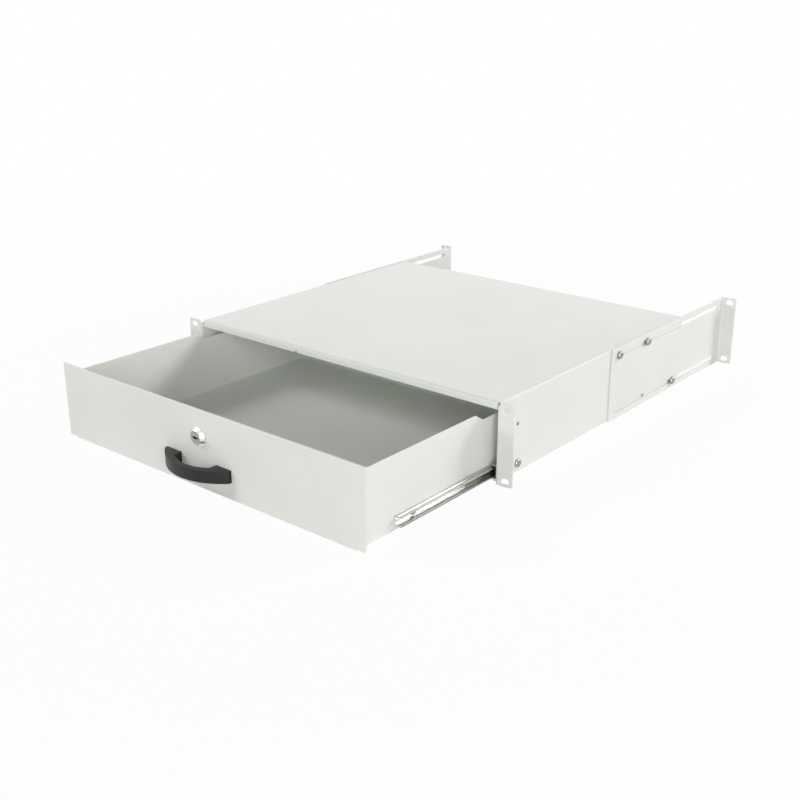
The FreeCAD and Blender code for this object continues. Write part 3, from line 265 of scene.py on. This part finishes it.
def ball_steel():
    """Ground and lapped chrome steel: a clear dark-edged mirror with a film of grease."""
    made, tree = new_material("lapped_ball_steel")
    film = grain(tree, 0.002)
    surface(tree, {"Metallic": 1.0, "Coat Weight": 0.3, "Coat Roughness": 0.2},
            {"Base Color": ramp(tree, film, srgb("#A9A8A4"), srgb("#C9C9C6"), 0.3, 0.7),
             "Roughness": spread(tree, film, 0.06, 0.16)})
    return made


def moulded_black(finish):
    """Acetal, injection moulded: near black with a soft sheen and a fine spark-eroded grain.

    The grain is drawn some ten times as coarse as it is, so that it shows.
    """
    made, tree = new_material("acetal_black")
    pits = grain(tree, 0.0006, detail=3.0)
    surface(tree, {"IOR": 1.48},
            {"Base Color": ramp(tree, pits, finish.plastic, srgb("#2B2B2A"), 0.3, 0.7),
             "Roughness": spread(tree, pits, 0.38, 0.5),
             "Normal": bump(tree, pits, 0.00003)})
    return made


def handle_nylon(finish):
    """Glass-filled nylon, injection moulded: charcoal black, satin, with a fine leathery grain."""
    made, tree = new_material("glass_filled_nylon_black")
    pits = grain(tree, 0.0007, detail=3.0)
    tone = ramp(tree, grain(tree, 0.012), finish.handle, srgb("#1A1A19"), 0.3, 0.7)
    surface(tree, {"IOR": 1.53, "Specular IOR Level": 0.35},
            {"Base Color": tone, "Roughness": spread(tree, pits, 0.4, 0.52),
             "Normal": bump(tree, pits, 0.00004)})
    return made


def brass():
    """Free-cutting brass, turned: warm yellow with fine rings from the tool."""
    made, tree = new_material("turned_brass")
    rings = grain(tree, 0.0004, (1.0, 8.0, 1.0))
    surface(tree, {"Metallic": 1.0},
            {"Base Color": ramp(tree, rings, srgb("#B08A45"), srgb("#CDA75C"), 0.3, 0.7),
             "Roughness": spread(tree, rings, 0.24, 0.38)})
    return made


def chrome(finish):
    """Chromed zinc die casting: a bright mirror, a little softened by the casting below."""
    made, tree = new_material("chromed_zinc_casting")
    swell = grain(tree, 0.003)
    surface(tree, {"Metallic": 1.0},
            {"Base Color": ramp(tree, swell, srgb("#DCDCDA"), finish.chrome, 0.3, 0.7),
             "Roughness": spread(tree, swell, 0.24, 0.34),
             "Normal": bump(tree, swell, 0.00001)})
    return made


def satin_nickel():
    """Nickel-plated brass, faced on a lathe: flat grey with a satin sheen."""
    made, tree = new_material("satin_nickel")
    lines = grain(tree, 0.0004, (1.0, 1.0, 6.0))
    surface(tree, {"Metallic": 1.0},
            {"Base Color": ramp(tree, lines, srgb("#9C9C97"), srgb("#B4B4AF"), 0.3, 0.7),
             "Roughness": spread(tree, lines, 0.3, 0.44),
             "Normal": bump(tree, lines, 0.00001)})
    return made


def dress(names, material):
    """Gives CAD nodes their material."""
    for name in names:
        mesh = frame["nodes"][name].data
        mesh.materials.clear()
        mesh.materials.append(material)


def nodes_named(*starts):
    """The CAD nodes whose names start with one of these words."""
    found = [name for name in frame["nodes"] if name.startswith(starts)]
    if not found:
        raise RuntimeError(f"no node starts with {starts}")
    return found


# ---------------------------------------------------------------- modelling

def body_of(node):
    """The body that a CAD node belongs to."""
    bodies = frame["record"]["behaviour"]["bodies"]
    return next(body for body, nodes in bodies.items() if node in nodes)


def solids_of(node):
    """Lowest and highest corner of each separate solid in a CAD node, from front to back."""
    mesh = bmesh.new()
    mesh.from_mesh(frame["nodes"][node].data)
    bmesh.ops.remove_doubles(mesh, verts=mesh.verts, dist=MERGE)
    left, found = set(mesh.verts), []
    while left:
        reached, waiting = set(), [left.pop()]
        while waiting:
            vert = waiting.pop()
            reached.add(vert)
            near = {edge.other_vert(vert) for edge in vert.link_edges} & left
            left -= near
            waiting.extend(near)
        spots = [vert.co for vert in reached]
        found.append((Vector([min(spot[i] for spot in spots) for i in range(3)]),
                      Vector([max(spot[i] for spot in spots) for i in range(3)])))
    mesh.free()
    return sorted(found, key=lambda box: box[0].y)


def start(operator, name, **settings):
    """Adds a primitive with nothing else selected and names it."""
    bpy.ops.object.select_all(action="DESELECT")
    operator(**settings)
    made = bpy.context.object
    made.name = name
    return made


def alone(piece):
    """Selects one piece and makes it active."""
    bpy.ops.object.select_all(action="DESELECT")
    piece.select_set(True)
    bpy.context.view_layer.objects.active = piece


def settle(piece):
    """Puts the piece's place, turn and scale into its mesh."""
    alone(piece)
    bpy.ops.object.transform_apply(location=True, rotation=True, scale=True)


def join(pieces, name):
    """Joins pieces into the first one and names it."""
    bpy.ops.object.select_all(action="DESELECT")
    for piece in pieces:
        piece.select_set(True)
    bpy.context.view_layer.objects.active = pieces[0]
    bpy.ops.object.join()
    pieces[0].name = name
    return pieces[0]


def smooth(piece, angle=35.0):
    """Shades the piece smooth, apart from edges sharper than the angle."""
    alone(piece)
    bpy.ops.object.shade_smooth_by_angle(angle=radians(angle))


def shape(piece, work):
    """Opens the piece in edit mode, runs the work on it and closes it again."""
    alone(piece)
    bpy.ops.object.mode_set(mode="EDIT")
    work(bmesh.from_edit_mesh(piece.data))
    bpy.ops.object.mode_set(mode="OBJECT")


def trim(piece, point, normal):
    """Cuts off and closes what lies beyond a plane."""
    def work(mesh):
        bpy.ops.mesh.select_all(action="SELECT")
        bpy.ops.mesh.bisect(plane_co=point, plane_no=normal, use_fill=True, clear_outer=True)
    shape(piece, work)


def round_edges(piece, width, segments, test):
    """Rounds the edges whose middle and direction pass a test."""
    def work(mesh):
        bpy.ops.mesh.select_mode(type="EDGE")
        bpy.ops.mesh.select_all(action="DESELECT")
        for edge in mesh.edges:
            a, b = (vert.co for vert in edge.verts)
            edge.select_set(test((a + b) / 2, (b - a).normalized()))
        bmesh.update_edit_mesh(piece.data)
        bpy.ops.mesh.bevel(offset=width, segments=segments, affect="EDGES", profile=0.5)
    shape(piece, work)


def soften(piece, width, segments, angle=40.0):
    """Rounds every sharp edge and shades the piece smooth."""
    alone(piece)
    bevel = piece.modifiers.new("soft_edges", "BEVEL")
    bevel.width = width
    bevel.segments = segments
    bevel.limit_method = "ANGLE"
    bevel.angle_limit = radians(angle)
    bpy.ops.object.modifier_apply(modifier=bevel.name)
    smooth(piece)


def combine(piece, tool, operation="DIFFERENCE"):
    """Cuts the piece with a tool, or joins them, and takes the tool away."""
    settle(tool)
    alone(piece)
    change = piece.modifiers.new("cut", "BOOLEAN")
    change.operation = operation
    change.solver = "EXACT"
    change.object = tool
    bpy.ops.object.modifier_apply(modifier=change.name)
    bpy.data.objects.remove(tool, do_unlink=True)


def copy_of(node, name):
    """A piece with a merged copy of a CAD node's mesh."""
    made = bpy.data.objects.new(name, frame["nodes"][node].data.copy())
    bpy.context.scene.collection.objects.link(made)

    def work(mesh):
        bpy.ops.mesh.select_all(action="SELECT")
        bpy.ops.mesh.remove_doubles(threshold=MERGE)
    shape(made, work)
    alone(made)
    bpy.ops.mesh.customdata_custom_splitnormals_clear()
    return made


def place_piece(piece, body, material, replaced=()):
    """Gives a finished piece its body and its material, and hides the CAD nodes that it stands
    for.
    """
    piece.data.materials.clear()
    piece.data.materials.append(material)
    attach(piece, body)
    if replaced:
        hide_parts(*replaced)


class RACKDRAWER_OT_sheet_steel(bpy.types.Operator):
    """Coats the housing, the drawer tray and the rear brackets."""
    bl_idname = "rackdrawer.sheet_steel"
    bl_label = "Coat the sheet steel"

    def execute(self, context):
        dress(COATED, powder_coat(context.scene.rackdrawer_finishes))
        return {"FINISHED"}


class RACKDRAWER_OT_slides(bpy.types.Operator):
    """Finishes the slides: plated members, balls, cages and stops."""
    bl_idname = "rackdrawer.slides"
    bl_label = "Finish the slides"

    def execute(self, context):
        finish = context.scene.rackdrawer_finishes
        dress(nodes_named("slide_outer", "slide_inner", "ball_cage"), zinc_plate(finish))
        dress(nodes_named("slide_balls"), ball_steel())
        dress(nodes_named("slide_stop"), moulded_black(finish))
        return {"FINISHED"}


def pan_screw(name, size, shank_long):
    """A pan-head screw with a cross recess; its head stands on z = 0 and points up."""
    head, high = size.head, size.head_high
    screw = start(bpy.ops.mesh.primitive_cylinder_add, name, vertices=48, radius=head,
                  depth=high, location=(0, 0, high / 2))
    settle(screw)
    round_edges(screw, high * 0.72, 7,
                lambda middle, along: middle.z > high * 0.99 and abs(along.z) < 0.1)
    inside = 0.0002     # the shank starts this far inside the head
    shank = start(bpy.ops.mesh.primitive_cylinder_add, f"{name}_shank", vertices=32,
                  radius=size.shank, depth=shank_long + 2 * inside,
                  location=(0, 0, inside - shank_long / 2))
    combine(screw, shank, "UNION")
    for turn in (0.0, 90.0):
        arm = start(bpy.ops.mesh.primitive_cone_add, f"{name}_arm", vertices=4,
                    radius1=head * 0.3, radius2=head * 0.8, depth=high * 0.8,
                    location=(0, 0, high * 0.66), rotation=(0, 0, radians(45)))
        settle(arm)
        arm.scale = (1.0, 0.36, 1.0)
        settle(arm)
        arm.rotation_euler = (0, 0, radians(turn + 45))
        combine(screw, arm)
    smooth(screw)
    return screw


def set_screws(context, node, outward, size):
    """Copies a modelled screw to each place of a CAD node's screws and joins them."""
    name, pieces, places = f"{node}_made", [], []
    for low, high in solids_of(node):
        seat = (low + high) / 2
        way = Vector(outward or (1 if seat.x > 0 else -1, 0, 0))
        along = max(range(3), key=lambda i: abs(way[i]))
        seat[along] = (high if way[along] > 0 else low)[along]
        if not pieces:
            piece = pan_screw(name, size, high[along] - low[along] - size.head_high)
        else:
            piece = pieces[0].copy()
            piece.data = pieces[0].data.copy()
            context.scene.collection.objects.link(piece)
        pieces.append(piece)
        places.append((seat - way * size.head_high, way))
    for piece, (seat, way) in zip(pieces, places):
        piece.rotation_euler = way.to_track_quat("Z", "Y").to_euler()
        piece.location = seat
        settle(piece)
    return join(pieces, name)


class RACKDRAWER_OT_fasteners(bpy.types.Operator):
    """Models the pan heads that show and finishes the other screws, washers and nuts."""
    bl_idname = "rackdrawer.fasteners"
    bl_label = "Make the fasteners"

    def execute(self, context):
        steel = turned_steel()
        dress(nodes_named("bracket_screws", "rail_screws", "slide_pan", "slide_flush",
                          "handle_screws", "cam_screw", "bracket_washers", "clinch_nuts"), steel)
        for node, way in (("bracket_screws_left", None), ("bracket_screws_right", None),
                          ("slide_pan_screws", None), ("handle_screws", (0, 1, 0))):
            screws = set_screws(context, node, way, context.scene.rackdrawer_screws)
            place_piece(screws, body_of(node), steel, [node])
        return {"FINISHED"}


class RACKDRAWER_OT_painted_ends(bpy.types.Operator):
    """Covers the ends of the rail screws inside the drawer, where the coat runs over them."""
    bl_idname = "rackdrawer.painted_ends"
    bl_label = "Paint the screw ends"

    def execute(self, context):
        size = context.scene.rackdrawer_screws
        coat = frame["nodes"]["drawer_tray"].data.materials[0]
        for side, sign in (("left", -1), ("right", 1)):
            caps = []
            for low, high in solids_of(f"rail_screws_{side}"):
                inner = high.x if sign < 0 else low.x
                cap = start(bpy.ops.mesh.primitive_cylinder_add, f"painted_end_{side}",
                            vertices=32, radius=size.painted_end, depth=size.painted_high,
                            location=(inner - sign * size.painted_sunk, (low.y + high.y) / 2,
                                      (low.z + high.z) / 2), rotation=(0, radians(90), 0))
                settle(cap)
                soften(cap, size.painted_high * 0.6, 4)
                caps.append(cap)
            place_piece(join(caps, f"painted_ends_{side}"), "drawer", coat)
        return {"FINISHED"}


class RACKDRAWER_OT_handle(bpy.types.Operator):
    """Models the bow handle, an arched bar that swells into two feet, and its inserts."""
    bl_idname = "rackdrawer.handle"
    bl_label = "Make the handle"

    def execute(self, context):
        size = context.scene.rackdrawer_handle
        low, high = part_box("handle")
        seat, middle_z, tall = high[1], (low[2] + high[2]) / 2, high[2] - low[2]
        stand = seat - low[1]
        half, rise = size.long / 2, stand - size.side
        radius = (half ** 2 + rise ** 2) / (2 * rise)
        grip = start(bpy.ops.mesh.primitive_cylinder_add, "bow_handle", vertices=180,
                     radius=radius, depth=tall,
                     location=(size.shift, seat - stand + radius, middle_z))
        settle(grip)
        trim(grip, (0, seat, 0), (0, 1, 0))
        trim(grip, (size.shift + half, 0, 0), (1, 0, 0))
        trim(grip, (size.shift - half, 0, 0), (-1, 0, 0))
        opening = half - size.foot
        back = seat - size.inner_side
        depth = stand - size.grip - size.inner_side
        inner = (opening ** 2 + depth ** 2) / (2 * depth)
        hollow = start(bpy.ops.mesh.primitive_cylinder_add, "hollow", vertices=160, radius=inner,
                       depth=tall * 2, location=(size.shift, back - depth + inner, middle_z))
        settle(hollow)
        trim(hollow, (0, back, 0), (0, 1, 0))
        combine(grip, hollow)
        past = 0.001        # the throat runs out past the seat
        overlap = 0.0001    # and into the hollow, so that no film stays between them
        gap = size.inner_side + past
        throat = start(bpy.ops.mesh.primitive_cube_add, "throat", size=1.0,
                       location=(size.shift, back + (gap - overlap) / 2, middle_z))
        throat.scale = (opening * 2, gap + overlap, tall * 2)
        combine(grip, throat)
        near = 0.0004       # how far off the end an edge may lie
        round_edges(grip, size.corner, 8, lambda middle, along: abs(along.z) > 0.99
                    and abs(abs(middle.x - size.shift) - half) < near and middle.y < seat - past)
        soften(grip, size.edge, 5, 38.0)
        place_piece(grip, "drawer",
                    handle_nylon(context.scene.rackdrawer_finishes), ["handle"])
        inserts = copy_of("handle_inserts", "handle_inserts_made")
        trim(inserts, (0, seat - size.insert, 0), (0, -1, 0))
        place_piece(inserts, "drawer", brass(), ["handle_inserts"])
        return {"FINISHED"}


class RACKDRAWER_OT_lock(bpy.types.Operator):
    """Turns the lock's bezel, opens the round middle of its keyway and finishes the rest."""
    bl_idname = "rackdrawer.lock"
    bl_label = "Finish the lock"

    def bezel(self, size):
        """The barrel of the CAD lock behind a bezel with finely turned flanks."""
        low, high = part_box("lock_housing")
        radius, panel = (high[0] - low[0]) / 2, low[1] + size.stand
        height, flank = (low[2] + high[2]) / 2, size.stand - size.base
        barrel = copy_of("lock_housing", "lock_housing_made")
        wide, deep = 0.04, 0.02     # takes away all of the barrel's head in front of the panel
        front = start(bpy.ops.mesh.primitive_cube_add, "front", size=1.0,
                      location=(0, panel - deep / 2, height))
        front.scale = (wide, deep, wide)
        combine(barrel, front)
        made = start(bpy.ops.mesh.primitive_cone_add, "bezel", vertices=96, radius1=radius,
                     radius2=radius - size.taper, depth=flank, rotation=(radians(90), 0, 0),
                     location=(0, low[1] + flank / 2, height))
        settle(made)

        def foot(mesh):
            bpy.ops.mesh.select_mode(type="FACE")
            bpy.ops.mesh.select_all(action="DESELECT")
            for face in mesh.faces:
                face.select_set(face.normal.y > 0.9)
            bmesh.update_edit_mesh(made.data)
            bpy.ops.mesh.extrude_region_move(
                TRANSFORM_OT_translate={"value": (0, size.base, 0)})
        shape(made, foot)
        bore = start(bpy.ops.mesh.primitive_cylinder_add, "bore", vertices=96, radius=size.seat,
                     depth=wide, location=(0, panel, height), rotation=(radians(90), 0, 0))
        combine(made, bore)
        soften(made, size.edge, 4, 30.0)
        join([barrel, made], "lock_housing_made")
        smooth(barrel, 30.0)
        return barrel

    def execute(self, context):
        finish, size = context.scene.rackdrawer_finishes, context.scene.rackdrawer_lock
        dress(["lock_nut", "lock_cam"], zinc_plate(finish))
        nickel = satin_nickel()
        low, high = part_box("lock_plug")
        middle = ((low[0] + high[0]) / 2, low[1], (low[2] + high[2]) / 2)
        core_deep, way_deep = 0.006, 0.005
        plug = copy_of("lock_plug", "lock_plug_made")
        core = start(bpy.ops.mesh.primitive_cylinder_add, "core", vertices=32, radius=size.core,
                     depth=2 * core_deep, location=middle, rotation=(radians(90), 0, 0))
        combine(plug, core)
        way = start(bpy.ops.mesh.primitive_cube_add, "way", size=1.0, location=middle)
        way.scale = (size.keyway_long, 2 * way_deep, size.keyway_wide)
        combine(plug, way)
        smooth(plug)
        place_piece(plug, "lock", nickel, ["lock_plug"])
        bezel = self.bezel(size)
        place_piece(bezel, "drawer", chrome(finish), ["lock_housing"])
        bezel.data.materials.append(nickel)     # the ring round the plug is faced, not polished
        for face in bezel.data.polygons:
            face.material_index = int(face.normal.y < -0.95)
        return {"FINISHED"}


# ---------------------------------------------------------------- stage

# name, place, y of the spot aimed at, side
LAMPS = (("key", (2.2, -2.0, 0.75), 0.1, 1.6), ("back", (-1.9, 2.4, 1.5), 0.2, 2.6),
         ("edge", (1.6, 2.25, 1.6), 0.2, 1.0), ("fill", (-1.9, -1.55, 1.6), -0.1, 0.9))


def seen_white(tree):
    """One for rays from the camera, mirrors and glass, and nothing for the rest."""
    path = add(tree, "ShaderNodeLightPath", {})
    white = path.outputs["Is Camera Ray"]
    for ray in ("Is Glossy Ray", "Is Transmission Ray"):
        both = add(tree, "ShaderNodeMath", {"operation": "MAXIMUM"},
                   {0: white, 1: path.outputs[ray]})
        white = both.outputs["Value"]
    return white


def lamp(name, spot, aim, side, power):
    """A square lamp that points at a place."""
    bpy.ops.object.light_add(type="AREA", location=spot)
    made = bpy.context.object
    made.name = name
    made.data.size = side
    made.data.energy = power
    made.rotation_euler = (Vector(aim) - Vector(spot)).to_track_quat("-Z", "Y").to_euler()


class RACKDRAWER_OT_stage(bpy.types.Operator):
    """Lays the floor, lights the drawer and sets the camera."""
    bl_idname = "rackdrawer.stage"
    bl_label = "Set the stage"

    def execute(self, context):
        studio = context.scene.rackdrawer_studio
        bpy.ops.mesh.primitive_plane_add(size=studio.floor_size,
                                         location=(0, 0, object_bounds()[0][2]))
        floor = context.object
        floor.name = "floor"
        settle(floor)
        made, tree = new_material("studio_floor")
        diffuse = add(tree, "ShaderNodeBsdfDiffuse", {"Color": srgb("#F4F4F2")})
        glow = add(tree, "ShaderNodeEmission", {"Color": srgb("#FFFFFF"), "Strength": 1.0})
        # the drawer's shadow shows near it, and the floor runs out into white further off
        place = add(tree, "ShaderNodeTexCoord", {})
        away = add(tree, "ShaderNodeVectorMath", {"operation": "LENGTH"},
                   {0: place.outputs["Object"]})
        fade = add(tree, "ShaderNodeMapRange", {"From Min": 0.5, "From Max": 1.6, "To Min": 0.94,
                                                "To Max": 1.0}, {"Value": away.outputs["Value"]})
        share = add(tree, "ShaderNodeMath", {"operation": "MULTIPLY"},
                    {0: seen_white(tree), 1: fade.outputs["Result"]})
        mix = add(tree, "ShaderNodeMixShader", {},
                  {"Fac": share.outputs["Value"], 1: diffuse.outputs["BSDF"],
                   2: glow.outputs["Emission"]})
        add(tree, "ShaderNodeOutputMaterial", {}, {"Surface": mix.outputs["Shader"]})
        floor.data.materials.append(made)
        floor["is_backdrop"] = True

        world = bpy.data.worlds.new("studio_world")
        context.scene.world = world
        world.use_nodes = True
        tree = world.node_tree
        tree.nodes.clear()
        white = seen_white(tree)
        strength = add(tree, "ShaderNodeMapRange", {"To Min": studio.ambient, "To Max": 1.0},
                       {"Value": white})
        sky = add(tree, "ShaderNodeBackground", {"Color": srgb("#FFFFFF")},
                  {"Strength": strength.outputs["Result"]})
        add(tree, "ShaderNodeOutputWorld", {}, {"Surface": sky.outputs["Background"]})

        for name, spot, aim, side in LAMPS:
            lamp(f"{name}_lamp", spot, (0.0, aim, 0.0), side, getattr(studio, f"{name}_power"))

        bpy.ops.object.camera_add(
            location=studio.camera,
            rotation=(radians(90) - studio.tilt, 0.0, studio.azimuth))
        camera = context.object
        camera.name = "camera"
        camera.data.lens = studio.lens
        camera.data.sensor_width = 36.0
        context.scene.camera = camera
        context.scene.view_settings.view_transform = "Standard"
        return {"FINISHED"}


GROUPS = {"rackdrawer_finishes": RACKDRAWER_PG_finishes, "rackdrawer_screws": RACKDRAWER_PG_screws,
          "rackdrawer_handle": RACKDRAWER_PG_handle, "rackdrawer_lock": RACKDRAWER_PG_lock,
          "rackdrawer_studio": RACKDRAWER_PG_studio}
OPERATORS = (RACKDRAWER_OT_sheet_steel, RACKDRAWER_OT_slides, RACKDRAWER_OT_fasteners,
             RACKDRAWER_OT_painted_ends, RACKDRAWER_OT_handle, RACKDRAWER_OT_lock,
             RACKDRAWER_OT_stage)


class RACKDRAWER_PT_panel(bpy.types.Panel):
    """Lists the steps and the values that can be changed."""
    bl_idname = "RACKDRAWER_PT_panel"
    bl_label = "Rack drawer"
    bl_space_type = "VIEW_3D"
    bl_region_type = "UI"
    bl_category = "Rack drawer"

    def draw(self, context):
        scene = context.scene
        for name, group in GROUPS.items():
            self.layout.label(text=group.__doc__)
            for value in group.__annotations__:
                self.layout.prop(getattr(scene, name), value)
        for operator in OPERATORS:
            self.layout.operator(operator.bl_idname)


CLASSES = tuple(GROUPS.values()) + OPERATORS + (RACKDRAWER_PT_panel,)


def register():
    """Registers the classes and hangs the values on the scene."""
    for each in CLASSES:
        bpy.utils.register_class(each)
    for name, group in GROUPS.items():
        setattr(bpy.types.Scene, name, bpy.props.PointerProperty(type=group))


def unregister():
    """Takes them away again."""
    for name in reversed(GROUPS):
        delattr(bpy.types.Scene, name)
    for each in reversed(CLASSES):
        bpy.utils.unregister_class(each)


def main():
    """Makes the drawer's looks, step by step."""
    register()
    bpy.ops.object.select_all(action="DESELECT")
    bpy.ops.rackdrawer.sheet_steel()
    bpy.ops.rackdrawer.slides()
    bpy.ops.rackdrawer.fasteners()
    bpy.ops.rackdrawer.painted_ends()
    bpy.ops.rackdrawer.handle()
    bpy.ops.rackdrawer.lock()
    bpy.ops.rackdrawer.stage()


if __name__ == "__main__":
    main()
